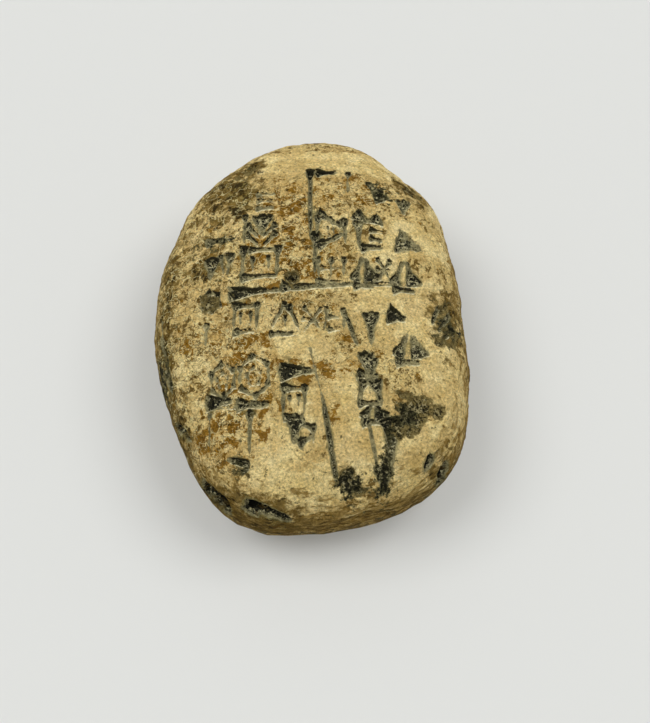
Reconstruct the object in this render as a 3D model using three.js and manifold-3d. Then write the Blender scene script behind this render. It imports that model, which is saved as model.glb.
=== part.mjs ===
// A hand-sized clay tablet, pillow-shaped and pressed with rows of wedge strokes between ruled lines.
// It lies on its back with the written face up. X runs across the face, Y towards its top edge, Z up.
// Sizes are millimetres. The origin is under the middle of the tablet, on the surface that it lies on.
// Places on the face are shares of half the width and half the length, so the writing keeps its layout.

import * as THREE from "three";
import { mergeVertices } from "three/addons/utils/BufferGeometryUtils.js";
import Module from "manifold-3d";

// The pillow of clay
const WIDTH = 42;
const LENGTH = 57.5;
const THICKNESS = 20;
const GIRTH_HEIGHT = 9.6; // how high the widest girth lies
const REST_SHARE = 0.42; // the flat spot that it lies on, as a share of the plan outline
const FACE_FULLNESS = 2.9; // how flat the face is before it turns over into the edge
const BACK_FULLNESS = 2.4;
const SWELL = 0.02; // the gentle lumps left by the maker's palms, as a share of the face's height
const PLAN_STEPS = 64;
const FACE_RINGS = 13;
const BACK_RINGS = 9;

// The plan outline: how far each direction reaches beyond an ellipse of the same width and length.
// The first is at the right, and they go round anticlockwise in equal steps.
const OUTLINE_SHARES = [
  0.99, 0.99, 1.02, 0.99, 1.01, 0.98, 0.98, 0.99, 1.02, 1.02,
  1.03, 1.01, 1.01, 1.05, 1.03, 0.98, 0.99, 1.07, 1.13, 1.06,
];

// The stylus strokes and ruled lines
const HEAD_WIDTH = 1.7; // across a wedge's head
const HEAD_DEPTH = 0.8;
const MOST_HEAD_SHARE = 0.75; // a head is no wider than this share of its stroke's length
const RULE_WIDTH = 0.55;
const RULE_DEPTH = 0.35;
const PUNCH_LIFT = 0.5; // how far a cutting punch stands above the face

// Each pattern gives strokes in a cell from -0.5 to 0.5: head x, head y, tail x, tail y, and how broad.
// They are marks of the stylus in rows and belong to no script.
const PATTERNS = {
  post: () => [[0, 0.5, 0, -0.5]],
  tee: () => [
    [-0.4, 0.5, -0.3, -0.5],
    [-0.1, 0.42, 0.6, 0.45],
  ],
  bar: () => [[-0.5, 0, 0.5, 0.08, 1.15]],
  slash: () => [[0.35, -0.35, -0.5, 0.5, 1.3]],
  arrow: () => [[-0.5, 0, 0.5, 0, 2.3]],
  drop: () => [[0, 0.5, 0, -0.5, 1.5]],
  stack: () => steps(3).map((s) => [-0.5, 0.4 - 0.8 * s, 0.5, 0.36 - 0.8 * s]),
  comb: () => [
    [-0.5, -0.45, 0.5, -0.5],
    ...steps(3).map((s) => [0.84 * s - 0.42, 0.5, 0.8 * s - 0.4, -0.35, 0.8]),
  ],
  ladder: () => [
    [-0.42, 0.5, -0.5, -0.5],
    [0.42, 0.45, 0.46, -0.5],
    ...steps(2).map((s) => [-0.35, 0.12 - 0.5 * s, 0.4, 0.14 - 0.5 * s, 0.7]),
  ],
  gable: () => [
    [0, 0.5, -0.5, -0.42, 0.9],
    [0.08, 0.4, 0.5, -0.42, 1.1],
    [-0.5, -0.5, 0.45, -0.5, 0.9],
  ],
  chevron: () => [
    [-0.05, 0.42, -0.02, 0, 2],
    [-0.5, 0.3, 0, -0.35, 0.8],
    [0.5, 0.3, 0.05, -0.4, 0.8],
  ],
  fork: () => [
    [-0.45, 0.5, 0.45, -0.02, 1.1],
    [-0.45, -0.5, 0.45, -0.06, 1.1],
    [-0.3, 0, 0.2, 0, 0.9],
  ],
  pair: () => steps(2).map((s) => [1.04 * s - 0.5, 0.05, 0.96 * s, 0, 1.6]),
  cross: () => [
    [-0.4, 0.5, 0.4, -0.4, 0.7],
    [0.1, 0.1, -0.5, -0.5, 0.7],
    [0.5, -0.1, 0.1, -0.5, 0.9],
  ],
  vee: () => [
    [-0.5, 0.5, -0.05, -0.5, 0.8],
    [0.45, 0.5, 0.2, -0.45, 1.3],
  ],
  loop: () => ring(5).map(([x0, y0, x1, y1]) => [x0, y0 + 0.1, x1, y1 + 0.1, 0.55]),
  knot: () => [
    ...ring(3).map(([x0, y0, x1, y1]) => [x0, y0, x1, y1, 0.8]),
    [-0.4, -0.5, 0.5, -0.45, 1.1],
  ],
};

// Rows of writing from the top down: where the row's middle is and how tall it is, both as shares of
// half the length. A sign is its pattern, its middle, its width, both as shares of half the width, and
// where it departs from the row, its lift and height.
const ROWS = [
  {
    y: 0.6,
    height: 0.16,
    signs: [
      ["stack", -0.28, 0.2],
      ["tee", 0.09, 0.2, -0.13, 0.42],
      ["post", 0.27, 0.05],
      ["slash", 0.47, 0.16, -0.01, 0.14],
      ["drop", 0.59, 0.08, -0.11, 0.08],
    ],
  },
  {
    y: 0.31,
    height: 0.19,
    signs: [
      ["bar", -0.56, 0.24, 0, 0.1],
      ["chevron", -0.31, 0.23],
      ["fork", 0.15, 0.18, 0.02],
      ["pair", 0.37, 0.22, 0.08],
      ["pair", 0.36, 0.2, -0.03],
      ["arrow", 0.63, 0.16, -0.02],
    ],
  },
  {
    y: 0.12,
    height: 0.18,
    signs: [
      ["vee", -0.62, 0.14, 0.03],
      ["ladder", -0.29, 0.27],
      ["comb", 0.15, 0.2],
      ["gable", 0.34, 0.14],
      ["cross", 0.48, 0.1],
      ["gable", 0.61, 0.15],
    ],
  },
  {
    y: -0.12,
    height: 0.17,
    signs: [
      ["comb", -0.39, 0.17],
      ["gable", -0.14, 0.17],
      ["cross", 0.09, 0.24],
      ["vee", 0.29, 0.17, -0.07],
      ["arrow", 0.56, 0.09, 0.01, 0.08],
    ],
  },
  {
    y: -0.26,
    height: 0.13,
    signs: [
      ["post", -0.63, 0.05, 0.05],
      ["post", -0.42, 0.04, -0.04],
      ["ladder", 0.33, 0.13, -0.08],
      ["gable", 0.59, 0.19],
    ],
  },
  {
    y: -0.44,
    height: 0.2,
    signs: [
      ["loop", -0.54, 0.17],
      ["knot", -0.33, 0.22],
      ["bar", -0.07, 0.22, 0.05],
      ["ladder", -0.09, 0.12, -0.07, 0.15],
      ["vee", 0.33, 0.12, -0.03, 0.14],
    ],
  },
  {
    y: -0.66,
    height: 0.22,
    signs: [
      ["post", -0.6, 0.03, 0.03],
      ["post", -0.34, 0.05, -0.02],
      ["vee", -0.08, 0.16, 0, 0.14],
      ["pair", 0.39, 0.24, 0.08],
      ["drop", 0.4, 0.06, -0.11],
    ],
  },
];

// Ruled lines as shares: from x, y to x, y.
const RULES = [
  [-0.5, 0.0, 0.65, 0.055],
  [-0.61, -0.535, -0.2, -0.54],
  [0.01, -0.3, 0.16, -0.87],
];

// Breaks and flaked places: middle, half widths, depth in millimetres, and turn in degrees.
const BREAKS = [
  { x: 0.64, y: -0.55, across: 3.2, along: 2.2, depth: 0.8, turn: 25 },
  { x: 0.23, y: -0.86, across: 1.9, along: 1.4, depth: 0.8, turn: -15 },
  { x: 0.87, y: -0.13, across: 2.2, along: 3, depth: 0.7, turn: 20 },
  { x: -0.11, y: 0.07, across: 0.9, along: 1.2, depth: 0.6, turn: 30 },
  { x: -0.62, y: -0.04, across: 1.6, along: 1.8, depth: 0.4, turn: 0 },
  { x: -0.4, y: -0.81, across: 1.7, along: 0.8, depth: 0.5, turn: -20 },
  { x: -0.25, y: -0.95, across: 3, along: 0.9, depth: 0.8, turn: -12 },
  { x: 0.7, y: -0.75, across: 0.6, along: 1.1, depth: 0.4, turn: -20 },
  { x: -0.88, y: -0.31, across: 0.8, along: 2.4, depth: 0.5, turn: 8 },
  { x: -0.78, y: -0.57, across: 0.8, along: 2, depth: 0.5, turn: 20 },
  { x: 0.69, y: 0.66, across: 2.6, along: 1.1, depth: 0.5, turn: -50 },
  { x: -0.42, y: 0.72, across: 2.4, along: 1.4, depth: 0.45, turn: 35 },
];

const UP = new THREE.Vector3(0, 0, 1);

// Shares from 0 to 1 in equal steps, ends included.
function steps(count) {
  return Array.from({ length: count }, (_, i) => i / (count - 1));
}

// The sides of a regular polygon in a cell from -0.5 to 0.5.
function ring(sides) {
  const corner = (i) => {
    const angle = (i / sides + 0.25) * 2 * Math.PI;
    return [0.5 * Math.cos(angle), 0.5 * Math.sin(angle)];
  };
  return Array.from({ length: sides }, (_, i) => [...corner(i), ...corner(i + 1)]);
}

// The outline share in a direction given in turns: a smooth closed curve through OUTLINE_SHARES.
function outlineShare(turns) {
  const count = OUTLINE_SHARES.length;
  const at = (((turns % 1) + 1) % 1) * count;
  const first = Math.floor(at);
  const f = at - first;
  const [a, b, c, d] = [-1, 0, 1, 2].map((i) => OUTLINE_SHARES[(first + i + count) % count]);
  const bend = (3 * b - a - 3 * c + d) * f + (2 * a - 5 * b + 4 * c - d);
  return 0.5 * (2 * b + (c - a + bend * f) * f);
}

// The plan outline in millimetres, scaled and centred so that it is exactly WIDTH by LENGTH.
function makeOutline() {
  const samples = Array.from({ length: PLAN_STEPS }, (_, i) => {
    const angle = (i / PLAN_STEPS) * 2 * Math.PI;
    return new THREE.Vector2(Math.cos(angle), Math.sin(angle)).multiplyScalar(outlineShare(i / PLAN_STEPS));
  });
  const box = new THREE.Box2().setFromPoints(samples);
  const middle = box.getCenter(new THREE.Vector2());
  const scale = new THREE.Vector2(WIDTH, LENGTH).divide(box.getSize(new THREE.Vector2()));
  return samples.map((p) => p.sub(middle).multiply(scale));
}

const outline = makeOutline();
const section = sectionPoints();
const highest = highestRise();

// How far the outline reaches from the middle towards (x, y).
function reach(x, y) {
  const heading = new THREE.Vector2(x, y);
  for (let i = 0; i < outline.length; i++) {
    const a = outline[i];
    const b = outline[(i + 1) % outline.length];
    if (a.cross(heading) >= 0 && heading.cross(b) > 0) {
      const side = b.clone().sub(a);
      return (a.cross(side) / heading.cross(side)) * heading.length();
    }
  }
  return outline[0].length();
}

// The lumps of the hand-patted face: how much taller than smooth it stands at (x, y).
function swell(x, y) {
  const u = x / WIDTH;
  const v = y / LENGTH;
  return 1 + SWELL * (Math.sin(9 * u + 4 * v + 1) + Math.sin(11 * v - 5 * u) + Math.sin(6 * v + 8 * u * v));
}

// Height of the uncut face over (x, y).
function faceHeight(x, y) {
  const share = Math.min(1, Math.hypot(x, y) / reach(x, y));
  const rise = Math.pow(1 - Math.pow(share, FACE_FULLNESS), 1 / FACE_FULLNESS);
  return GIRTH_HEIGHT + ((THICKNESS - GIRTH_HEIGHT) * rise * swell(x, y)) / highest;
}

function facePoint(x, y, lift = 0) {
  return new THREE.Vector3(x, y, faceHeight(x, y) + lift);
}

function faceNormal(x, y) {
  const d = 0.2;
  const slopeX = (faceHeight(x + d, y) - faceHeight(x - d, y)) / (2 * d);
  const slopeY = (faceHeight(x, y + d) - faceHeight(x, y - d)) / (2 * d);
  return new THREE.Vector3(-slopeX, -slopeY, 1).normalize();
}

// Half of the pillow's section as shares of its plan outline and heights, from the rest up to the crown.
function sectionPoints() {
  const quarter = (i, count) => (i / count) * (Math.PI / 2);
  const back = Array.from({ length: BACK_RINGS }, (_, i) => {
    const t = quarter(i, BACK_RINGS);
    const out = Math.pow(Math.sin(t), 2 / BACK_FULLNESS);
    const drop = Math.pow(Math.cos(t), 2 / BACK_FULLNESS);
    return new THREE.Vector2(REST_SHARE + (1 - REST_SHARE) * out, GIRTH_HEIGHT * (1 - drop));
  });
  const face = Array.from({ length: FACE_RINGS }, (_, i) => {
    const t = quarter(FACE_RINGS - i, FACE_RINGS);
    const out = Math.pow(Math.sin(t), 2 / FACE_FULLNESS);
    const rise = Math.pow(Math.cos(t), 2 / FACE_FULLNESS);
    return new THREE.Vector2(out, GIRTH_HEIGHT + (THICKNESS - GIRTH_HEIGHT) * rise);
  });
  return [new THREE.Vector2(0, 0), ...back, ...face, new THREE.Vector2(0, THICKNESS)];
}

// The share of the face's height that a level of the section has.
function riseAt(z) {
  return (z - GIRTH_HEIGHT) / (THICKNESS - GIRTH_HEIGHT);
}

// How far the lumps take the crown above a smooth one.
function highestRise() {
  const rises = section.flatMap(({ x, y }) => outline.map((p) => riseAt(y) * swell(p.x * x, p.y * x)));
  return Math.max(...rises);
}

// The uncut pillow: a turned section, stretched to the plan outline.
function pillow() {
  const geometry = new THREE.LatheGeometry(section, PLAN_STEPS).rotateX(Math.PI / 2);
  const position = geometry.getAttribute("position");
  for (let i = 0; i < position.count; i++) {
    const share = Math.hypot(position.getX(i), position.getY(i));
    const turns = Math.atan2(position.getY(i), position.getX(i)) / (2 * Math.PI);
    const edge = outline[(Math.round(turns * PLAN_STEPS) + PLAN_STEPS) % PLAN_STEPS];
    const x = edge.x * share;
    const y = edge.y * share;
    const rise = riseAt(position.getZ(i));
    const lumped = GIRTH_HEIGHT + ((THICKNESS - GIRTH_HEIGHT) * rise * swell(x, y)) / highest;
    position.setXYZ(i, x, y, rise > 0 ? lumped : position.getZ(i));
  }
  return geometry;
}

// A closed V-shaped punch through stations along a stroke. Each has its place on the face, the
// direction across, the face's normal, half its width at the face and its depth.
function trough(stations) {
  const corners = stations.flatMap(({ at, across, normal, halfWidth, depth }) => {
    const flare = halfWidth * (1 + PUNCH_LIFT / depth);
    const top = at.clone().addScaledVector(normal, PUNCH_LIFT);
    return [
      top.clone().addScaledVector(across, flare),
      top.clone().addScaledVector(across, -flare),
      at.clone().addScaledVector(normal, -depth),
    ];
  });
  const faces = [[2, 1, 0]];
  for (let i = 0; i + 1 < stations.length; i++) {
    for (let side = 0; side < 3; side++) {
      const a = 3 * i + side;
      const b = 3 * i + ((side + 1) % 3);
      faces.push([a, b, a + 3], [b, b + 3, a + 3]);
    }
  }
  const last = 3 * (stations.length - 1);
  faces.push([last, last + 1, last + 2]);
  const geometry = new THREE.BufferGeometry().setFromPoints(corners);
  return geometry.setIndex(faces.flat());
}

// Stations of a stroke between two places on the face; shares of length, width and depth shape it.
function stations(from, to, width, depth, shape) {
  return shape.map(([along, wide, deep]) => {
    const x = THREE.MathUtils.lerp(from.x, to.x, along);
    const y = THREE.MathUtils.lerp(from.y, to.y, along);
    const normal = faceNormal(x, y);
    const heading = new THREE.Vector3(to.x - from.x, to.y - from.y, 0);
    return {
      at: facePoint(x, y),
      normal,
      across: normal.clone().cross(heading).normalize(),
      halfWidth: (width / 2) * wide,
      depth: depth * deep,
    };
  });
}

// A wedge stroke: a broad deep head that runs out into a thin tail.
function wedge(from, to, broad = 1) {
  const width = Math.min(HEAD_WIDTH * broad, MOST_HEAD_SHARE * from.distanceTo(to) * broad);
  const neck = Math.min(0.7, (1.4 * width) / from.distanceTo(to));
  const shape = [
    [0, 0.95, 0.5],
    [0.25 * neck, 0.85, 1],
    [neck, 0.32, 0.55],
    [1, 0.12, 0.25],
  ];
  return trough(stations(from, to, width, HEAD_DEPTH, shape));
}

// A ruled line drawn across the face, a little deeper in its middle.
function rule([x0, y0, x1, y1]) {
  const shape = steps(7).map((s) => [s, 1, 0.6 + 1.6 * s * (1 - s)]);
  return trough(stations(onFace(x0, y0), onFace(x1, y1), RULE_WIDTH, RULE_DEPTH, shape));
}

function onFace(xShare, yShare) {
  return new THREE.Vector2((xShare * WIDTH) / 2, (yShare * LENGTH) / 2);
}

// All wedge strokes of one sign in its cell.
function signStrokes(row, [pattern, x, width, lift = 0, height = row.height]) {
  const place = (u, v) => onFace(x + u * width, row.y + lift + v * height);
  return PATTERNS[pattern]().map(([u0, v0, u1, v1, broad]) => wedge(place(u0, v0), place(u1, v1), broad));
}

// A shallow scoop with the given half widths and depth at the face.
function scoop({ x, y, across, along, depth, turn }) {
  const centre = onFace(x, y);
  const lift = 0.6 * depth;
  const radius = depth + lift;
  const spread = 1 / Math.sqrt(1 - (lift / radius) ** 2);
  const tilt = new THREE.Quaternion().setFromUnitVectors(UP, faceNormal(centre.x, centre.y));
  return new THREE.SphereGeometry(1, 10, 6)
    .rotateX(Math.PI / 2)
    .scale(across * spread, along * spread, radius)
    .translate(0, 0, lift)
    .rotateZ(THREE.MathUtils.degToRad(turn))
    .applyQuaternion(tilt)
    .translate(centre.x, centre.y, faceHeight(centre.x, centre.y));
}

const wasm = await Module();
wasm.setup();

function toSolid(geometry) {
  const bare = geometry.clone().deleteAttribute("normal").deleteAttribute("uv");
  const merged = mergeVertices(bare, 1e-4);
  return new wasm.Manifold(
    new wasm.Mesh({
      numProp: 3,
      vertProperties: merged.getAttribute("position").array,
      triVerts: new Uint32Array(merged.index.array),
    }),
  );
}

function toGeometry(solid) {
  const mesh = solid.getMesh();
  return new THREE.BufferGeometry()
    .setAttribute("position", new THREE.BufferAttribute(mesh.vertProperties, 3))
    .setIndex(new THREE.BufferAttribute(mesh.triVerts, 1));
}

const cuts = [
  ...BREAKS.map(scoop),
  ...RULES.map(rule),
  ...ROWS.flatMap((row) => row.signs.flatMap((sign) => signStrokes(row, sign))),
];
const carved = cuts.reduce((solid, cut) => solid.subtract(toSolid(cut)), toSolid(pillow()));
const tabletGeometry = toGeometry(carved);
tabletGeometry.computeVertexNormals();

const clay = new THREE.MeshStandardMaterial({ color: 0xc4ac78, roughness: 0.9, metalness: 0 });
const tablet = new THREE.Mesh(tabletGeometry, clay);
tablet.name = "tablet";

const part = new THREE.Group();
part.add(tablet);
export default part;
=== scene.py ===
"""A hand-sized clay tablet pressed with rows of strokes, worn and stained, on a plain pale floor.

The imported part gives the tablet's size. This script models its relief on a fine mesh of the same form,
gives it the finish of old sun-dried clay, and sets a soft studio light and the camera around it.
"""

import logging
import math
from collections.abc import Callable, Sequence
from dataclasses import dataclass, field
from enum import Enum
from functools import cached_property

import bpy
import numpy as np
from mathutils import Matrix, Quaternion, Vector

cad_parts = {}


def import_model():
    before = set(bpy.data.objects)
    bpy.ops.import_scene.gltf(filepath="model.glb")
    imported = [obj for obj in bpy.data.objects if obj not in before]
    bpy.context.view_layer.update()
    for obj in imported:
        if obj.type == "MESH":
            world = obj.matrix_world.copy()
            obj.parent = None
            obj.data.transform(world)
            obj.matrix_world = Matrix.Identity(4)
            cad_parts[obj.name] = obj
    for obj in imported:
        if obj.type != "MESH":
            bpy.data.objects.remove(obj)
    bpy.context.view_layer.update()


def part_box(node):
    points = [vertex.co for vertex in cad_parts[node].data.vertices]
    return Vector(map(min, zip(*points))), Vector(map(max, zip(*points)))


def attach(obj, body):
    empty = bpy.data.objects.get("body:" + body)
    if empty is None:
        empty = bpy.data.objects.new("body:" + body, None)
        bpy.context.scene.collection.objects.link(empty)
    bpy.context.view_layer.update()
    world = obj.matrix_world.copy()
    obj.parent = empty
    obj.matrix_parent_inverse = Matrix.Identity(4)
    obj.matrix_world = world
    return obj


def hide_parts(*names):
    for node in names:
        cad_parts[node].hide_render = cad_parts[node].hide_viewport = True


LOG = logging.getLogger("tablet")
MM = 0.001
NODE = "tablet"
BODY = "root"
Socket = bpy.types.NodeSocket
Inputs = dict[str | int, object]  # a node's values and links, by the input's name or place


def linear(hex_colour: str) -> tuple[float, float, float, float]:
    """Turns an sRGB hex colour into the linear colour that Blender's sockets take.

    Args:
        hex_colour: six hex digits after a hash sign.

    Returns:
        Red, green, blue and an alpha of one.
    """
    channels = [int(hex_colour[i : i + 2], 16) / 255 for i in (1, 3, 5)]
    curve = [c / 12.92 if c <= 0.04045 else ((c + 0.055) / 1.055) ** 2.4 for c in channels]
    return (curve[0], curve[1], curve[2], 1.0)


def add_node(
    tree: bpy.types.NodeTree,
    kind: str,
    inputs: Inputs | None = None,
    **settings: object,
) -> bpy.types.Node:
    """Adds a node, sets its properties, and fills or links its inputs.

    Args:
        tree: the node tree that gets the node.
        kind: Blender's name for the node's type.
        inputs: for each input's name or place, a value or the socket that it is linked to.
        settings: properties of the node.

    Returns:
        The new node.
    """
    node = tree.nodes.new(kind)
    for name, value in settings.items():
        setattr(node, name, value)
    for key, value in (inputs or {}).items():
        if isinstance(value, Socket):
            tree.links.new(value, node.inputs[key])
        else:
            node.inputs[key].default_value = value
    return node


def link(thing: bpy.types.Object) -> bpy.types.Object:
    """Puts an object in the scene and returns it."""
    bpy.context.scene.collection.objects.link(thing)
    return thing


def plain_mesh(
    name: str, points: Sequence[Sequence[float]], faces: Sequence[Sequence[int]]
) -> bpy.types.Object:
    """Makes an object of points and faces and puts it in the scene.

    Args:
        name: the object's name.
        points: the points.
        faces: each face's point numbers.

    Returns:
        The object.
    """
    mesh = bpy.data.meshes.new(name)
    mesh.from_pydata(points, [], faces)
    mesh.update()
    return link(bpy.data.objects.new(name, mesh))


# The lump of clay


@dataclass(frozen=True)
class Pillow:
    """The uncut lump of clay: an uneven plan outline and a rounded section, in millimetres.

    The grid of a square is mapped to a disc, and a disc is laid over the face and another over the back.
    """

    width: float
    length: float
    thickness: float
    girth_share: float = 0.48  # height of the widest girth, as a share of the thickness
    rest_share: float = 0.42  # the flat spot underneath, as a share of the plan outline
    face_fullness: float = 2.9
    back_fullness: float = 2.4
    swell: float = 0.02  # the palms' lumps, as a share of the face's height
    outline_shares: tuple[float, ...] = (
        0.99, 0.99, 1.02, 0.99, 1.01, 0.98, 0.98, 0.99, 1.02, 1.02,
        1.03, 1.01, 1.01, 1.05, 1.03, 0.98, 0.99, 1.07, 1.13, 1.06,
    )  # fmt: skip
    cells: int = 420  # across the disc, so that a cell is about a seventh of a millimetre
    outline_steps: int = 720
    section_steps: int = 400

    @property
    def girth(self) -> float:
        """Height of the widest girth."""
        return self.girth_share * self.thickness

    @cached_property
    def outline(self) -> np.ndarray:
        """The plan outline as evenly turned points, closed on its first, width by length exactly."""
        turns = np.linspace(0, 1, self.outline_steps + 1)
        reaches = np.array(self.outline_shares)
        count = len(reaches)
        first = np.floor(turns * count).astype(int)
        f = turns * count - first
        a, b, c, d = (reaches[(first + i) % count] for i in (-1, 0, 1, 2))
        bend = (3 * b - a - 3 * c + d) * f + (2 * a - 5 * b + 4 * c - d)
        reach = 0.5 * (2 * b + (c - a + bend * f) * f)
        angle = turns * 2 * math.pi
        rim = np.stack([np.cos(angle), np.sin(angle)], axis=1) * reach[:, None]
        low, high = rim.min(axis=0), rim.max(axis=0)
        return (rim - (low + high) / 2) * np.array([self.width, self.length]) / (high - low)

    def section(self, along: np.ndarray, face: bool) -> tuple[np.ndarray, np.ndarray]:
        """Walks evenly over half the section, from its middle out to the girth.

        Args:
            along: how far along the walk, from 0 in the middle to 1 at the girth.
            face: whether it is the written face or the back.

        Returns:
            The share of the plan outline and the height there.
        """
        t = np.linspace(0, math.pi / 2, self.section_steps)
        fullness = self.face_fullness if face else self.back_fullness
        out, rise = np.sin(t) ** (2 / fullness), np.clip(np.cos(t), 0, 1) ** (2 / fullness)
        if face:
            share, height = out, self.girth + (self.thickness - self.girth) * rise
        else:
            share = np.append(0.0, self.rest_share + (1 - self.rest_share) * out)
            height = np.append(0.0, self.girth * (1 - rise))
        mean_radius = (self.width + self.length) / 4
        steps = np.hypot(np.diff(share) * mean_radius, np.diff(height))
        walked = np.append(0.0, np.cumsum(steps))
        walked /= walked[-1]
        return np.interp(along, walked, share), np.interp(along, walked, height)

    def lumps(self, x: np.ndarray, y: np.ndarray) -> np.ndarray:
        """How much taller than smooth the hand-patted face stands at x, y."""
        u, v = x / self.width, y / self.length
        waves = np.sin(9 * u + 4 * v + 1) + np.sin(11 * v - 5 * u) + np.sin(6 * v + 8 * u * v)
        return 1 + self.swell * waves

    def lay_disc(self, disc: np.ndarray, face: bool) -> np.ndarray:
        """Lays a disc of points over the face or the back.

        Args:
            disc: points of the unit disc.
            face: whether they go over the written face or the back.

        Returns:
            Their places on the lump.
        """
        along = np.clip(np.hypot(disc[:, 0], disc[:, 1]), 0, 1)
        turns = np.arctan2(disc[:, 1], disc[:, 0]) / (2 * math.pi) % 1
        marks = np.linspace(0, 1, self.outline_steps + 1)
        share, height = self.section(along, face)
        x = np.interp(turns, marks, self.outline[:, 0]) * share
        y = np.interp(turns, marks, self.outline[:, 1]) * share
        if face:
            rise = (height - self.girth) * self.lumps(x, y)
            height = self.girth + rise * (self.thickness - self.girth) / rise.max()
        return np.stack([x, y, height], axis=1)

    def disc_grid(self) -> np.ndarray:
        """The points of a square grid drawn out to a disc, row by row."""
        line = np.linspace(-1, 1, self.cells + 1)
        x, y = (axis.ravel() for axis in np.meshgrid(line, line))
        return np.stack([x * np.sqrt(1 - y * y / 2), y * np.sqrt(1 - x * x / 2)], axis=1)

    def mesh_points(self) -> tuple[np.ndarray, np.ndarray]:
        """Builds the closed lump.

        Returns:
            The points in millimetres and the four-sided faces, which point outwards.
        """
        n = self.cells + 1
        disc = self.disc_grid()
        numbers = np.arange(n * n).reshape(n, n)
        inner = np.zeros((n, n), dtype=bool)
        inner[1:-1, 1:-1] = True
        back_numbers = numbers.copy()
        back_numbers[inner] = n * n + np.arange(inner.sum())
        points = np.vstack([self.lay_disc(disc, True), self.lay_disc(disc[inner.ravel()], False)])
        quads = []
        for grid, order in ((numbers, (0, 1, 2, 3)), (back_numbers, (3, 2, 1, 0))):
            corners = (grid[:-1, :-1], grid[:-1, 1:], grid[1:, 1:], grid[1:, :-1])
            quads.append(np.stack([corners[i].ravel() for i in order], axis=1))
        return points, np.vstack(quads)


# The writing


@dataclass
class Marks:
    """Places where a punch is pressed in, with its turn and its size for each, in millimetres."""

    places: list[Vector] = field(default_factory=list)
    turns: list[Sequence[float]] = field(default_factory=list)
    sizes: list[Sequence[float]] = field(default_factory=list)

    def add(self, place: Vector, turn: Sequence[float], size: Sequence[float]) -> None:
        """Adds one place."""
        self.places.append(place)
        self.turns.append(turn)
        self.sizes.append(size)

    def to_object(self, name: str) -> bpy.types.Object:
        """Makes an object of loose points that carry each place's turn and size.

        Args:
            name: the object's name.

        Returns:
            The object, in metres.
        """
        thing = plain_mesh(name, [place * MM for place in self.places], [])
        for label, values, scale in (("turn", self.turns, 1.0), ("size", self.sizes, MM)):
            layer = thing.data.attributes.new(label, "FLOAT_VECTOR", "POINT")
            layer.data.foreach_set("vector", (np.array(values) * scale).ravel())
        return thing


@dataclass(frozen=True)
class Stroke:
    """One push of the stylus in a cell from -0.5 to 0.5: a broad head that runs out into a tail."""

    head: tuple[float, float]
    tail: tuple[float, float]
    broad: float = 1.0
    long: float = 1.0


def steps(count: int) -> list[float]:
    """Shares from 0 to 1 in equal steps, ends included."""
    return [i / (count - 1) for i in range(count)]


def ring(sides: int, broad: float, reach: float = 0.5) -> list[Stroke]:
    """Strokes that follow one another round a regular polygon.

    Args:
        sides: how many strokes.
        broad: how broad each one is.
        reach: the polygon's radius.

    Returns:
        The strokes, the first from the top.
    """
    angles = [(i / sides + 0.25) * 2 * math.pi for i in range(sides + 1)]
    corners = [(reach * math.cos(a), reach * math.sin(a)) for a in angles]
    return [Stroke(a, b, broad) for a, b in zip(corners, corners[1:])]


class Sign(Enum):
    """The made-up groups of strokes that fill the rows. They belong to no script."""

    POST = "post"
    TEE = "tee"
    BAR = "bar"
    NAIL = "nail"
    SLASH = "slash"
    ARROW = "arrow"
    DROP = "drop"
    STACK = "stack"
    COMB = "comb"
    FRAME = "frame"
    HARROW = "harrow"
    LADDER = "ladder"
    GABLE = "gable"
    CHEVRON = "chevron"
    FORK = "fork"
    TENT = "tent"
    HOURGLASS = "hourglass"
    SPIKE = "spike"
    CROSS = "cross"
    VEE = "vee"
    LOOP = "loop"
    DOME = "dome"


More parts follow.
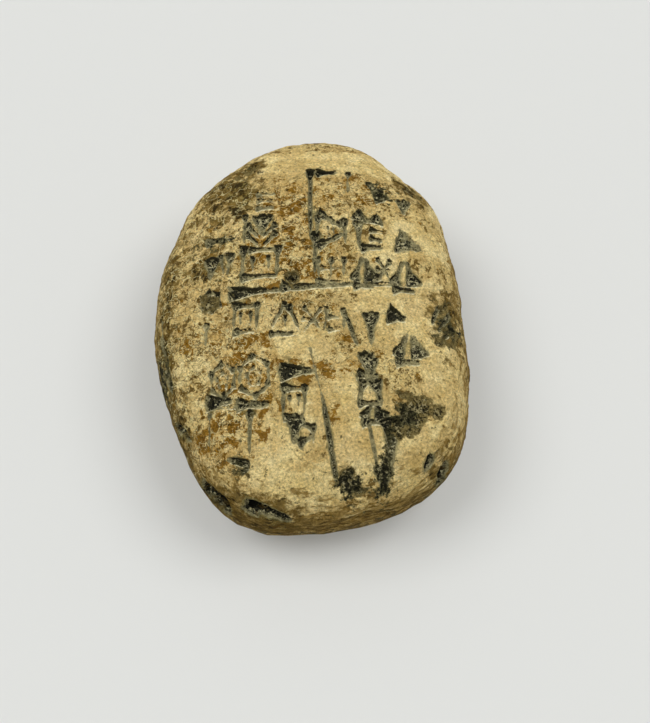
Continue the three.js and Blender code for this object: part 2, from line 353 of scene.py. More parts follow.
SIGN_STROKES: dict[Sign, Callable[[], list[Stroke]]] = {
    Sign.POST: lambda: [Stroke((0, 0.5), (0, -0.5))],
    Sign.TEE: lambda: [Stroke((-0.35, 0.5), (-0.3, -0.5)), Stroke((-0.15, 0.46), (0.6, 0.48), 0.9)],
    Sign.BAR: lambda: [Stroke((-0.5, 0), (0.5, 0.08), 1.15)],
    Sign.NAIL: lambda: [Stroke((-0.5, 0), (0.5, 0.1), 1.1, 4)],
    Sign.SLASH: lambda: [Stroke((0.35, -0.35), (-0.5, 0.5), 1.3), Stroke((-0.45, 0.5), (0.0, -0.3), 0.6)],
    Sign.ARROW: lambda: [Stroke((-0.5, 0.12), (0.5, -0.12), 2.3)],
    Sign.DROP: lambda: [Stroke((0, 0.5), (0, -0.5), 1.5)],
    Sign.STACK: lambda: [Stroke((-0.5, 0.4 - 0.8 * s), (0.5, 0.36 - 0.8 * s)) for s in steps(3)],
    Sign.COMB: lambda: [
        Stroke((-0.5, -0.45), (0.5, -0.5)),
        *(Stroke((0.84 * s - 0.42, 0.5), (0.8 * s - 0.4, -0.35), 0.8) for s in steps(3)),
        Stroke((-0.35, 0.1), (0.4, 0.05), 0.5),
    ],
    Sign.FRAME: lambda: [
        Stroke((-0.42, 0.5), (-0.46, -0.5)),
        Stroke((0.44, 0.45), (0.42, -0.5)),
        Stroke((-0.5, -0.48), (0.5, -0.46)),
        Stroke((-0.3, 0.38), (0.4, 0.34), 0.7),
        *(Stroke((0.4 * s - 0.2, 0.15), (0.4 * s - 0.18, -0.3), 0.5) for s in steps(2)),
    ],
    Sign.HARROW: lambda: [
        Stroke((-0.45, 0.44), (0.04, 0.2), 1.5),
        Stroke((0.12, 0.36), (0.5, 0.16), 1.4),
        Stroke((-0.36, 0.25), (-0.3, -0.5), 1.2),
        *(Stroke((0.0, 0.02 - 0.2 * s), (0.5, -0.02 - 0.22 * s), 0.6) for s in steps(2)),
        Stroke((-0.3, -0.44), (0.5, -0.38), 0.9),
    ],
    Sign.LADDER: lambda: [
        Stroke((-0.42, 0.5), (-0.5, -0.5)),
        Stroke((0.42, 0.45), (0.46, -0.5)),
        *(Stroke((-0.35, 0.12 - 0.5 * s), (0.4, 0.14 - 0.5 * s), 0.7) for s in steps(2)),
    ],
    Sign.GABLE: lambda: [
        Stroke((0, 0.5), (-0.5, -0.42), 0.9),
        Stroke((0.08, 0.4), (0.5, -0.42), 1.1),
        Stroke((-0.5, -0.5), (0.45, -0.5), 0.9),
        Stroke((0, 0.05), (0.02, -0.4), 0.6),
    ],
    Sign.CHEVRON: lambda: [
        Stroke((0.08, 0.46), (0.06, -0.2), 2.0),
        Stroke((-0.42, 0.2), (0.0, -0.22), 0.8),
        Stroke((0.5, 0.16), (0.08, -0.24), 0.7),
        Stroke((-0.42, -0.08), (0.04, -0.48), 0.6),
        Stroke((0.5, -0.1), (0.08, -0.5), 0.7),
        Stroke((-0.46, 0.5), (-0.44, -0.5), 0.6),
    ],
    Sign.FORK: lambda: [
        Stroke((-0.45, 0.5), (0.45, 0.04), 1.1),
        Stroke((-0.45, -0.5), (0.45, -0.1), 1.1),
        Stroke((-0.42, 0.4), (-0.45, -0.4), 0.8),
        Stroke((0.4, 0.3), (0.46, -0.4), 0.9),
    ],
    Sign.TENT: lambda: [
        Stroke((-0.4, -0.3), (-0.02, 0.5)),
        Stroke((0.4, -0.28), (0.05, 0.46), 1.5),
        Stroke((-0.5, -0.47), (0.5, -0.45), 0.8),
    ],
    Sign.HOURGLASS: lambda: [
        Stroke((-0.1, 0.5), (-0.05, -0.1), 1.6),
        Stroke((0.12, 0.4), (0.1, -0.1)),
        Stroke((-0.45, 0.1), (0.45, 0.06), 0.9),
        Stroke((-0.2, 0.0), (-0.42, -0.5)),
        Stroke((0.18, 0.0), (0.42, -0.5), 1.3),
        Stroke((-0.42, -0.44), (0.5, -0.42), 0.8),
    ],
    Sign.SPIKE: lambda: [Stroke((0.1, 0.5), (-0.1, -0.5), 1.5, 4)],
    Sign.CROSS: lambda: [
        Stroke((-0.4, 0.5), (0.4, -0.4), 0.7),
        Stroke((0.35, 0.45), (-0.5, -0.5), 0.7),
        Stroke((-0.5, 0.05), (0.5, -0.02), 0.6),
    ],
    Sign.VEE: lambda: [
        Stroke((-0.5, 0.5), (-0.05, -0.5), 0.8),
        Stroke((0.45, 0.5), (0.2, -0.45), 1.3),
    ],
    Sign.LOOP: lambda: [*ring(6, 0.5), Stroke((-0.1, 0.2), (0.05, -0.25), 0.6)],
    Sign.DOME: lambda: [*ring(6, 0.7), *ring(5, 0.5, 0.24)],
}


@dataclass(frozen=True)
class Placed:
    """A sign on the face.

    Its middle and width are shares of half the face's width, and its height is a share of half the
    length. The weight is how broad its strokes are, and the depth how deep, next to the usual.
    """

    sign: Sign
    x: float
    y: float
    width: float
    height: float
    weight: float = 1.0
    depth: float = 1.0


# Row by row, from the top
SIGNS = (
    Placed(Sign.STACK, -0.28, 0.51, 0.15, 0.12, 0.7, 0.6),
    Placed(Sign.TEE, 0.06, 0.47, 0.19, 0.44, 0.95, 1.5),
    Placed(Sign.POST, 0.03, 0.2, 0.03, 0.22, 1.1, 1.1),
    Placed(Sign.POST, 0.24, 0.61, 0.04, 0.15, 0.7, 0.8),
    Placed(Sign.SLASH, 0.43, 0.57, 0.12, 0.13, 1.3, 1.0),
    Placed(Sign.DROP, 0.6, 0.5, 0.09, 0.09, 1.1, 0.9),

    Placed(Sign.BAR, -0.56, 0.3, 0.22, 0.05, 0.9, 0.8),
    Placed(Sign.DROP, -0.62, 0.14, 0.09, 0.13, 1.1),
    Placed(Sign.CHEVRON, -0.32, 0.33, 0.21, 0.19, 1.1),
    Placed(Sign.FORK, 0.13, 0.33, 0.2, 0.19),
    Placed(Sign.LOOP, 0.15, 0.32, 0.09, 0.09, 0.8, 0.8),
    Placed(Sign.HARROW, 0.37, 0.33, 0.2, 0.22),
    Placed(Sign.ARROW, 0.63, 0.28, 0.18, 0.14, 1.3, 0.85),

    Placed(Sign.FRAME, -0.31, 0.16, 0.25, 0.17),
    Placed(Sign.VEE, -0.53, 0.15, 0.07, 0.13, 0.8, 0.8),
    Placed(Sign.COMB, 0.13, 0.11, 0.19, 0.13, 0.8, 0.75),
    Placed(Sign.TENT, 0.33, 0.11, 0.14, 0.17, 1.1),
    Placed(Sign.CROSS, 0.46, 0.12, 0.11, 0.13, 0.8, 0.8),
    Placed(Sign.TENT, 0.59, 0.11, 0.17, 0.17, 1.2),
    Placed(Sign.NAIL, -0.37, 0.0, 0.27, 0.05, 1.2, 1.4),
    Placed(Sign.BAR, -0.06, 0.025, 0.24, 0.05, 1.0),

    Placed(Sign.DOME, -0.61, -0.03, 0.12, 0.1, 1.0, 1.2),
    Placed(Sign.FRAME, -0.39, -0.12, 0.16, 0.15, 0.8, 0.9),
    Placed(Sign.GABLE, -0.15, -0.13, 0.19, 0.15, 0.7, 0.9),
    Placed(Sign.CROSS, 0.02, -0.14, 0.14, 0.13, 0.6, 0.8),
    Placed(Sign.LADDER, 0.15, -0.14, 0.12, 0.12, 0.6, 0.8),
    Placed(Sign.DROP, 0.37, -0.185, 0.08, 0.17, 1.1),
    Placed(Sign.ARROW, 0.53, -0.11, 0.12, 0.08, 0.9, 1.3),

    Placed(Sign.POST, -0.63, -0.2, 0.03, 0.12, 0.7, 0.7),
    Placed(Sign.POST, -0.43, -0.28, 0.03, 0.16, 0.35, 0.35),
    Placed(Sign.HOURGLASS, 0.355, -0.425, 0.17, 0.25, 1.0),
    Placed(Sign.TENT, 0.6, -0.26, 0.18, 0.16, 1.3),

    Placed(Sign.DOME, -0.52, -0.41, 0.16, 0.16, 0.8, 0.85),
    Placed(Sign.DOME, -0.33, -0.4, 0.2, 0.19, 0.8, 0.85),
    Placed(Sign.NAIL, -0.07, -0.39, 0.22, 0.08, 1.5, 1.3),
    Placed(Sign.BAR, -0.53, -0.51, 0.17, 0.05, 1.3, 1.3),
    Placed(Sign.BAR, -0.32, -0.53, 0.23, 0.04, 1.1, 1.1),
    Placed(Sign.FRAME, -0.09, -0.52, 0.14, 0.15, 0.8, 0.9),
    Placed(Sign.TENT, 0.375, -0.578, 0.14, 0.085, 1.1, 1.1),

    Placed(Sign.POST, -0.59, -0.64, 0.02, 0.17, 0.5, 0.7),
    Placed(Sign.POST, -0.35, -0.67, 0.04, 0.22, 0.8, 0.9),
    Placed(Sign.DROP, -0.09, -0.65, 0.05, 0.14, 1.1),
    Placed(Sign.FORK, -0.02, -0.66, 0.1, 0.11, 0.8, 0.9),
    Placed(Sign.SPIKE, 0.475, -0.72, 0.05, 0.2, 1.05, 1.5),
    Placed(Sign.DROP, 0.43, -0.85, 0.08, 0.11, 1.2, 1.2),
)  # fmt: skip


@dataclass(frozen=True)
class Cut:
    """A straight cut or crack, broad at its start and thin at its end.

    The ends are shares of half the width and half the length, the width and depth are millimetres.
    """

    start: tuple[float, float]
    end: tuple[float, float]
    width: float
    depth: float = 0.45


CUTS = (
    Cut((-0.5, -0.01), (0.74, 0.07), 0.5, 0.4),
    Cut((-0.62, -0.535), (-0.2, -0.54), 0.4, 0.3),
    Cut((0.0, -0.27), (0.1, -0.58), 0.4, 0.3),
    Cut((0.155, -0.85), (0.07, -0.47), 0.85, 0.6),
    Cut((0.21, -0.1), (0.29, -0.27), 0.6, 0.6),
    Cut((0.35, -0.63), (0.4, -0.82), 0.55, 0.4),
    Cut((0.42, -0.62), (0.54, -0.6), 0.9, 1.2),
    Cut((0.72, -0.73), (0.68, -0.79), 0.9, 1.6),
    Cut((0.82, -0.735), (0.77, -0.8), 0.8, 1.6),
    Cut((0.87, -0.04), (0.78, -0.16), 0.6, 1.0),
    Cut((0.8, -0.02), (0.74, -0.13), 0.5, 0.9),
    Cut((0.88, -0.12), (0.8, -0.2), 0.6, 1.0),
    Cut((-0.35, -0.785), (-0.48, -0.76), 0.6, 1.2),
    Cut((-0.42, -0.775), (-0.34, -0.8), 0.5, 1.0),
    Cut((-0.4, -0.825), (-0.35, -0.8), 0.6, 0.8),
    Cut((-0.37, -0.93), (-0.2, -0.975), 1.2, 1.8),
    Cut((-0.27, -0.96), (-0.1, -0.99), 0.8, 1.6),
    Cut((-0.3, -0.965), (-0.4, -0.94), 0.6, 1.2),
    Cut((-0.64, -0.81), (-0.54, -0.88), 0.8, 1.5),
    Cut((-0.56, -0.87), (-0.47, -0.93), 0.9, 1.6),
    Cut((-0.8, -0.55), (-0.7, -0.65), 0.7, 1.3),
    Cut((-0.88, -0.3), (-0.84, -0.42), 0.8, 1.3),
    Cut((-0.9, -0.25), (-0.93, -0.05), 0.5, 0.5),
)


@dataclass(frozen=True)
class Writing:
    """How the stylus's corner and its edge cut the face, in millimetres."""

    half_width: float
    half_length: float
    head_width: float = 1.6
    head_length: float = 1.4  # as a share of its width
    head_depth: float = 0.7
    most_head_share: float = 0.85  # a head is no wider than this share of its stroke's length
    tail_width: float = 0.4  # as a share of the head's width
    tail_depth: float = 0.5

    def place(self, x: float, y: float) -> Vector:
        """The place in millimetres of shares of the half width and half length."""
        return Vector((x * self.half_width, y * self.half_length, 0))

    def marks(self) -> tuple[Marks, Marks]:
        """Places every stroke of every sign, and every cut.

        Returns:
            The pushes of the stylus's corner, and the cuts of an edge.
        """
        corner, edge = Marks(), Marks()
        for sign in SIGNS:
            for stroke in SIGN_STROKES[sign.sign]():
                head, tail = (
                    self.place(sign.x + u * sign.width, sign.y + v * sign.height)
                    for u, v in (stroke.head, stroke.tail)
                )
                run = tail - head
                turn = (0, 0, math.atan2(run.y, run.x))
                broad = stroke.broad * sign.weight
                width = broad * min(self.head_width, self.most_head_share * run.length)
                length = min(self.head_length * stroke.long * width, run.length)
                corner.add(head, turn, (length, width, self.head_depth * sign.depth))
                edge.add(head, turn, (run.length, self.tail_width * width, self.tail_depth * sign.depth))
        for cut in CUTS:
            start, end = self.place(*cut.start), self.place(*cut.end)
            run = end - start
            edge.add(start, (0, 0, math.atan2(run.y, run.x)), (run.length, cut.width, cut.depth))
        return corner, edge


class Punch(Enum):
    """The tools and chips that mark the clay, as points and faces of their undersides.

    Each is as long, as wide and as deep as one, and lies along X from the origin.
    """

    CORNER = (
        ((0, 0.5, 0), (0, -0.5, 0), (1, 0, 0), (0.12, 0.3, -1), (0.12, -0.3, -1), (0.65, 0, -0.7)),
        ((0, 1, 4, 3), (1, 2, 5, 4), (2, 0, 3, 5), (3, 4, 5)),
    )
    EDGE = (
        (
            (0, 0.45, 0), (0, -0.45, 0), (0, 0.2, -0.9), (0, -0.2, -0.9),
            (0.75, 0.42, 0), (0.75, -0.42, 0), (0.75, 0.15, -0.9), (0.75, -0.15, -0.9),
            (1, 0.12, 0), (1, -0.12, 0), (1, 0.04, -0.2), (1, -0.04, -0.2),
        ),
        (
            (0, 1, 3, 2), (1, 5, 7, 3), (0, 2, 6, 4), (2, 3, 7, 6),
            (5, 9, 11, 7), (4, 6, 10, 8), (6, 7, 11, 10),
        ),
    )  # fmt: skip

    def to_object(self) -> bpy.types.Object:
        """Makes the punch an object."""
        points, faces = self.value
        return plain_mesh(self.name.lower(), points, faces)


# Damage


@dataclass(frozen=True)
class Break:
    """A place where clay has broken or flaked away.

    x and y are shares of the half width and half length. The half widths and the depth are
    millimetres, and the turn is degrees.
    """

    x: float
    y: float
    across: float
    along: float
    depth: float
    turn: float = 0.0


BREAKS = (
    Break(0.65, -0.55, 3.0, 2.0, 0.5, 5),
    Break(0.59, -0.575, 1.1, 1.5, 1.3, -20),
    Break(0.54, -0.61, 1.7, 0.8, 0.9, 35),
    Break(0.58, -0.485, 2.2, 0.5, 0.5, -8),
    Break(0.75, -0.55, 1.6, 1.0, 0.45, 10),
    Break(0.6, -0.625, 2.4, 1.2, 0.55, 22),
    Break(0.22, -0.855, 1.3, 1.2, 0.8, -15),
    Break(0.26, -0.885, 1.3, 0.8, 0.6, -15),
    Break(0.88, -0.16, 1.5, 1.6, 0.45, 20),
    Break(0.82, -0.04, 0.7, 2.0, 0.35, -30),
    Break(0.79, -0.2, 1.8, 0.7, 0.35, -10),
    Break(-0.11, 0.075, 0.9, 1.1, 0.8, 30),
    Break(-0.62, -0.04, 1.3, 1.4, 0.4, 0),
    Break(-0.4, -0.82, 1.3, 0.6, 0.5, -20),
    Break(-0.25, -0.955, 2.3, 0.5, 0.5, -12),
    Break(-0.58, -0.89, 1.4, 0.7, 0.4, -38),
    Break(-0.88, -0.31, 0.7, 2.2, 0.4, 8),
    Break(-0.78, -0.57, 0.6, 1.6, 0.4, 20),
    Break(0.69, 0.66, 2.4, 0.8, 0.45, -50),
    Break(-0.42, 0.72, 1.8, 0.9, 0.4, 35),
)


# Stains


class Stain(Enum):
    """What lies on the clay in soft-edged fields, each kept as an attribute of the mesh."""

    OCHRE = "ochre"
    GRIME = "grime"
    SOOT = "soot"
    CLEAN = "clean"


@dataclass(frozen=True)
class Patch:
    """A soft-edged patch of one stain.

    x and y are shares of the half width and half length, the reaches are millimetres, and the
    strength is how much of the stain the middle has.
    """

    stain: Stain
    x: float
    y: float
    across: float
    along: float
    strength: float = 1.0
    turn: float = 0.0


PATCHES = (
    Patch(Stain.OCHRE, -0.11, 0.5, 3.6, 3.6),
    Patch(Stain.OCHRE, -0.12, 0.3, 3.4, 4.0),
    Patch(Stain.OCHRE, -0.11, 0.12, 3.2, 4.0),
    Patch(Stain.OCHRE, 0.28, 0.62, 3.0, 1.5, 0.8),
    Patch(Stain.OCHRE, 0.33, 0.51, 1.6, 0.9),
    Patch(Stain.OCHRE, 0.14, 0.52, 1.4, 0.7, 0.8),
    Patch(Stain.OCHRE, -0.31, -0.31, 2.8, 2.6),
    Patch(Stain.OCHRE, -0.03, -0.36, 2.2, 1.2, 0.9),
    Patch(Stain.OCHRE, -0.54, -0.25, 3.2, 1.8, 0.7),
    Patch(Stain.OCHRE, 0.0, -0.46, 1.8, 1.2, 0.8),
    Patch(Stain.OCHRE, -0.47, -0.65, 2.8, 4.0),
    Patch(Stain.OCHRE, -0.28, -0.64, 2.4, 3.6),
    Patch(Stain.OCHRE, 0.02, -0.78, 2.0, 1.1, 0.8),
    Patch(Stain.OCHRE, 0.2, -0.4, 2.6, 2.0),
    Patch(Stain.OCHRE, 0.17, -0.58, 1.3, 2.2, 0.9),
    Patch(Stain.OCHRE, -0.36, -0.42, 3.0, 3.0, 0.6),
    Patch(Stain.GRIME, -0.45, 0.53, 2.4, 3.0),
    Patch(Stain.GRIME, -0.46, 0.56, 1.6, 2.2, 0.9),
    Patch(Stain.GRIME, -0.39, 0.76, 1.6, 1.8),
    Patch(Stain.GRIME, -0.58, 0.64, 5.0, 3.4, 0.8, 35),
    Patch(Stain.GRIME, -0.65, 0.37, 3.4, 4.4, 0.6),
    Patch(Stain.GRIME, -0.9, 0.03, 1.3, 9.0, 0.9),
    Patch(Stain.GRIME, -0.88, -0.3, 1.3, 5.0, 1.0, 8),
    Patch(Stain.GRIME, -0.77, -0.59, 1.3, 4.0, 0.9, 18),
    Patch(Stain.GRIME, -0.66, 0.15, 2.8, 2.2, 0.9),
    Patch(Stain.GRIME, 0.64, 0.64, 3.6, 1.8, 0.9, -50),
    Patch(Stain.GRIME, 0.85, -0.1, 3.2, 5.0, 0.9),
    Patch(Stain.GRIME, -0.5, -0.9, 4.0, 2.0, 0.75, -30),
    Patch(Stain.GRIME, -0.2, -0.97, 4.0, 1.6, 0.9),
    Patch(Stain.GRIME, 0.78, -0.77, 1.8, 3.0, 0.7, -30),
    Patch(Stain.SOOT, 0.45, 0.58, 1.2, 2.0, 0.7, 30),
    Patch(Stain.SOOT, -0.57, 0.29, 2.8, 0.8, 0.6),
    Patch(Stain.SOOT, 0.475, -0.7, 0.7, 2.4, 0.6, -8),
    Patch(Stain.SOOT, 0.43, -0.83, 1.0, 2.2, 0.9),
    Patch(Stain.SOOT, 0.57, -0.58, 1.2, 1.3, 0.8, 15),
    Patch(Stain.SOOT, 0.23, -0.865, 1.6, 1.4, 0.9),
    Patch(Stain.SOOT, -0.4, -0.8, 1.5, 0.9, 0.6, -20),
    Patch(Stain.SOOT, -0.9, -0.33, 0.7, 2.6, 0.8, 8),
    Patch(Stain.SOOT, 0.86, -0.13, 1.8, 1.8, 0.6),
    Patch(Stain.CLEAN, -0.07, -0.26, 2.2, 1.8),
    Patch(Stain.CLEAN, 0.21, -0.49, 2.6, 1.6),
    Patch(Stain.CLEAN, 0.27, -0.64, 2.2, 3.6),
    Patch(Stain.CLEAN, 0.58, -0.1, 3.8, 3.0, 0.9),
    Patch(Stain.OCHRE, 0.72, 0.3, 3.6, 5.6, 0.35),
    Patch(Stain.CLEAN, 0.66, 0.27, 3.8, 5.6, 0.45),
    Patch(Stain.CLEAN, -0.19, -0.73, 1.8, 3.4),
    Patch(Stain.CLEAN, 0.0, -0.61, 1.3, 3.2),
    Patch(Stain.CLEAN, 0.36, 0.77, 5.0, 2.0, 0.7),
    Patch(Stain.CLEAN, -0.1, 0.74, 3.6, 2.2),
    Patch(Stain.CLEAN, 0.65, -0.79, 2.8, 4.0, 0.8),
    Patch(Stain.CLEAN, -0.1, -0.87, 6.0, 2.2, 0.8),
    Patch(Stain.CLEAN, 0.83, -0.35, 2.4, 4.4, 0.8),
)


# The relief


@dataclass(frozen=True)
class ReliefSizes:
    """How deep and how coarse the relief is, in millimetres."""

    reach: float = 4.0  # how deep under the skin punches are looked for
    softening: int = 2
    burr_spread: int = 6
    residue_spread: int = 24
    burr_height: float = 0.07
    burr_overlap: float = 0.09  # how far the softened strokes spill over their lips there
    stroke_wobble: tuple[float, float] = (0.8, 0.42)  # grain and amount
    break_wobble: tuple[float, float] = (1.1, 2.0)
    wall: float = 0.25  # how far above and below a point its wall is looked for
    wear_grain: float = 3.0
    wear_range: tuple[float, float] = (0.38, 0.55)  # the noise where a stroke is most and least worn
    least_worn: float = 0.8  # the share of a stroke's depth that is left where it is most worn
    pit_density: float = 0.05  # worn pits for each square millimetre
    pit_size: float = 0.3
    pit_shapes: tuple[tuple[float, ...], tuple[float, ...]] = ((0.3, 0.3, 0.2), (1.6, 1.0, 0.6))
    pit_wobble: tuple[float, float] = (0.3, 0.15)
    pit_seed: int = 7
    skin: tuple[tuple[float, float], ...] = ((9.0, 1.2), (2.4, 0.4), (0.7, 0.18))  # grain and height
    skin_start: float = 2.0  # how high over the spot that it rests on the skin is fully uneven
    floor_roughness: tuple[float, float] = (0.5, 1.2)  # of breaks: grain and share of the depth
    crust_grain: float = 4.0
    crust_height: float = 0.07
    crust_swing: float = 3.4  # how much of the crust's loss is chance
    crust_likes: tuple[tuple[str, float], ...] = (("ochre", 0.6), ("grime", 0.5), ("clean", -1.3))
    crust_range: tuple[float, float] = (1.45, 1.65)  # where the crust is whole and where it is gone


class ReliefTree:
    """The geometry-node tree that presses, chips and weathers the lump."""

    SOCKETS = (
        ("Lump", "INPUT", "NodeSocketGeometry"),
        ("Corner Marks", "INPUT", "NodeSocketObject"),
        ("Corner Punch", "INPUT", "NodeSocketObject"),
        ("Edge Marks", "INPUT", "NodeSocketObject"),
        ("Edge Punch", "INPUT", "NodeSocketObject"),
        ("Breaks", "INPUT", "NodeSocketObject"),
        ("Girth Height", "INPUT", "NodeSocketFloat"),
        ("Reach", "INPUT", "NodeSocketFloat"),
        ("Burr Height", "INPUT", "NodeSocketFloat"),
        ("Pit Density", "INPUT", "NodeSocketFloat"),
        ("Pit Size", "INPUT", "NodeSocketFloat"),
        ("Seed", "INPUT", "NodeSocketInt"),
        ("Finish", "INPUT", "NodeSocketMaterial"),
        ("Lump", "OUTPUT", "NodeSocketGeometry"),
    )

    def __init__(self, sizes: ReliefSizes) -> None:
        """Starts the tree with its inputs."""
        self.sizes = sizes
        self.tree = bpy.data.node_groups.new("press and weather the clay", "GeometryNodeTree")
        for name, direction, kind in self.SOCKETS:
            self.tree.interface.new_socket(name, in_out=direction, socket_type=kind)
        self.given = self.add("NodeGroupInput").outputs
        self.position = self.add("GeometryNodeInputPosition").outputs[0]
        self.normal = self.add("GeometryNodeInputNormal").outputs[0]

    def add(self, kind: str, inputs: Inputs | None = None, **settings: object) -> bpy.types.Node:
        """Adds a node to this tree."""
        return add_node(self.tree, kind, inputs, **settings)

    def add_noise(self, grain_mm: float) -> bpy.types.Node:
        """Adds noise of a grain size in millimetres, around a half."""
        scale = 1 / (grain_mm * MM)
        return self.add("ShaderNodeTexNoise", {"Vector": self.position, "Scale": scale, "Detail": 3.0})

    def scaled(self, vector: object, scale: object) -> Socket:
        """A vector drawn out by a factor."""
        return self.add("ShaderNodeVectorMath", {0: vector, "Scale": scale}, operation="SCALE").outputs[0]

    def wobble(self, grain_mm: float, amount_mm: float) -> Socket:
        """A small shift that makes a punch's outline uneven.

        Args:
            grain_mm: how far apart its swings are.
            amount_mm: how far it swings.

        Returns:
            The point of the skin, shifted.
        """
        noise = self.add_noise(grain_mm).outputs["Color"]
        centred = self.add("ShaderNodeVectorMath", {0: noise, 1: (-0.5, -0.5, -0.5)})
        shift = self.scaled(centred.outputs[0], amount_mm * MM)
        return self.add("ShaderNodeVectorMath", {0: self.position, 1: shift}).outputs[0]

    def punches(self, marks: str, punch: Socket) -> Socket:
        """Sets a punch at each mark, with the turn and size that the mark keeps.

        Args:
            marks: the input that gives the marks.
            punch: the punch's geometry.

        Returns:
            The punches' geometry.
        """
        places = self.add("GeometryNodeObjectInfo", {"Object": self.given[marks]})
        turn = self.add("GeometryNodeInputNamedAttribute", {"Name": "turn"}, data_type="FLOAT_VECTOR")
        size = self.add("GeometryNodeInputNamedAttribute", {"Name": "size"}, data_type="FLOAT_VECTOR")
        turned = self.add("FunctionNodeEulerToRotation", {0: turn.outputs["Attribute"]})
        instances = self.add("GeometryNodeInstanceOnPoints", {
            "Points": places.outputs["Geometry"],
            "Instance": punch,
            "Rotation": turned.outputs[0],
            "Scale": size.outputs["Attribute"],
        })
        return self.add("GeometryNodeRealizeInstances", {"Geometry": instances.outputs[0]}).outputs[0]

    def depth_of(self, punches: Socket, start: object, heading: object) -> Socket:
        """Finds how far punches reach in under each point, by a ray from inside the clay.

        Args:
            punches: the punches' geometry.
            start: where the ray starts, as far in as Reach.
            heading: the way out.

        Returns:
            The depth, nothing where no punch is met.
        """
        ray = self.add("GeometryNodeRaycast", {
            "Target Geometry": punches,
            "Source Position": start,
            "Ray Direction": heading,
            "Ray Length": self.given["Reach"],
        })
        left = self.combined(self.given["Reach"], ray.outputs["Hit Distance"], "SUBTRACT")
        return self.combined(left, ray.outputs["Is Hit"], "MULTIPLY")

    def tools(self) -> Socket:
        """Sets every push of the stylus and every cut, as one geometry."""
        joined = self.add("GeometryNodeJoinGeometry")
        for kind in ("Edge", "Corner"):
            tool = self.add("GeometryNodeObjectInfo", {"Object": self.given[f"{kind} Punch"]})
            placed = self.punches(f"{kind} Marks", tool.outputs["Geometry"])
            self.tree.links.new(placed, joined.inputs[0])
        return joined.outputs[0]

    def flat_depth(self, tools: Socket, shift_mm: float) -> Socket:
        """The depth of punches that lie in the plan, whatever the height of the clay.

        Args:
            tools: the punches' geometry.
            shift_mm: how far towards the top of the face the depth is read.

        Returns:
            The depth on the written side of the girth.
        """
        shifted = self.wobble(*self.sizes.stroke_wobble)
        place = self.add("ShaderNodeSeparateXYZ", {0: shifted}).outputs
        below = self.combined(self.given["Reach"], -1.0, "MULTIPLY")
        along = self.combined(place["Y"], shift_mm * MM, "ADD")
        start = self.add("ShaderNodeCombineXYZ", {"X": place["X"], "Y": along, "Z": below})
        depth = self.depth_of(tools, start.outputs[0], (0.0, 0.0, 1.0))
        written = self.combined(place["Z"], self.given["Girth Height"], "GREATER_THAN")
        most, least = self.sizes.wear_range
        left = self.add("ShaderNodeMapRange", {
            "Value": self.add_noise(self.sizes.wear_grain).outputs["Fac"],
            "From Min": most, "From Max": least, "To Min": self.sizes.least_worn,
        }).outputs[0]
        return self.combined(self.combined(depth, written, "MULTIPLY"), left, "MULTIPLY")

    def skin_depth(self, punches: Socket, shifted: Socket) -> Socket:
        """The depth of punches that stand on the skin itself.

        Args:
            punches: the punches' geometry.
            shifted: the point of the skin, with its wobble.

        Returns:
            The depth along the skin's normal.
        """
        step_in = self.scaled(self.normal, self.combined(self.given["Reach"], -1.0, "MULTIPLY"))
        start = self.add("ShaderNodeVectorMath", {0: shifted, 1: step_in})
        return self.depth_of(punches, start.outputs[0], self.normal)

    def worn_pits(self, lump: Socket) -> Socket:
        """Scatters small round pits over the lump.

        Args:
            lump: the lump's geometry.

        Returns:
            The pits' geometry.
        """
        points = self.add("GeometryNodeDistributePointsOnFaces", {
            "Mesh": lump, "Density": self.given["Pit Density"], "Seed": self.given["Seed"],
        })
        ball = self.add("GeometryNodeMeshIcoSphere", {"Radius": 1.0, "Subdivisions": 2})
        least, most = self.sizes.pit_shapes
        size = self.add("FunctionNodeRandomValue", {"Min": least, "Max": most, "Seed": self.given["Seed"]},
                        data_type="FLOAT_VECTOR")
        instances = self.add("GeometryNodeInstanceOnPoints", {
            "Points": points.outputs["Points"],
            "Instance": ball.outputs["Mesh"],
            "Rotation": points.outputs["Rotation"],
            "Scale": self.scaled(size.outputs["Value"], self.given["Pit Size"]),
        })
        return self.add("GeometryNodeRealizeInstances", {"Geometry": instances.outputs[0]}).outputs[0]

    def keep(self, lump: Socket, name: str, value: Socket) -> Socket:
        """Keeps a value at each point of the lump under a name."""
        store = {"Geometry": lump, "Name": name, "Value": value}
        return self.add("GeometryNodeStoreNamedAttribute", store).outputs[0]

    def kept(self, name: str) -> Socket:
        """The value kept under a name."""
        return self.add("GeometryNodeInputNamedAttribute", {"Name": name}).outputs["Attribute"]

    def blurred(self, name: str, rounds: int) -> Socket:
        """The value kept under a name, softened by that many rounds."""
        return self.add("GeometryNodeBlurAttribute", {0: self.kept(name), "Iterations": rounds}).outputs[0]

    def combined(
        self, first: object, second: object, operation: str, use_clamp: bool = False
    ) -> Socket:
        """The result of one sum on two values, kept between 0 and 1 where asked."""
        values = {0: first, 1: second}
        return self.add("ShaderNodeMath", values, operation=operation, use_clamp=use_clamp).outputs[0]

    def skin_waves(self) -> Socket:
        """The uneven skin of the clay, a sum of noises, which fades out at the spot that it rests on."""
        total: Socket | None = None
        for grain, height in self.sizes.skin:
            noise = self.combined(self.add_noise(grain).outputs["Fac"], 0.5, "SUBTRACT")
            wave = self.combined(noise, height * MM, "MULTIPLY")
            total = wave if total is None else self.combined(total, wave, "ADD")
        level = self.add("ShaderNodeSeparateXYZ", {0: self.position}).outputs["Z"]
        lifted = self.add("ShaderNodeMapRange", {"Value": level, "From Max": self.sizes.skin_start * MM})
        return self.combined(total, lifted.outputs[0], "MULTIPLY")

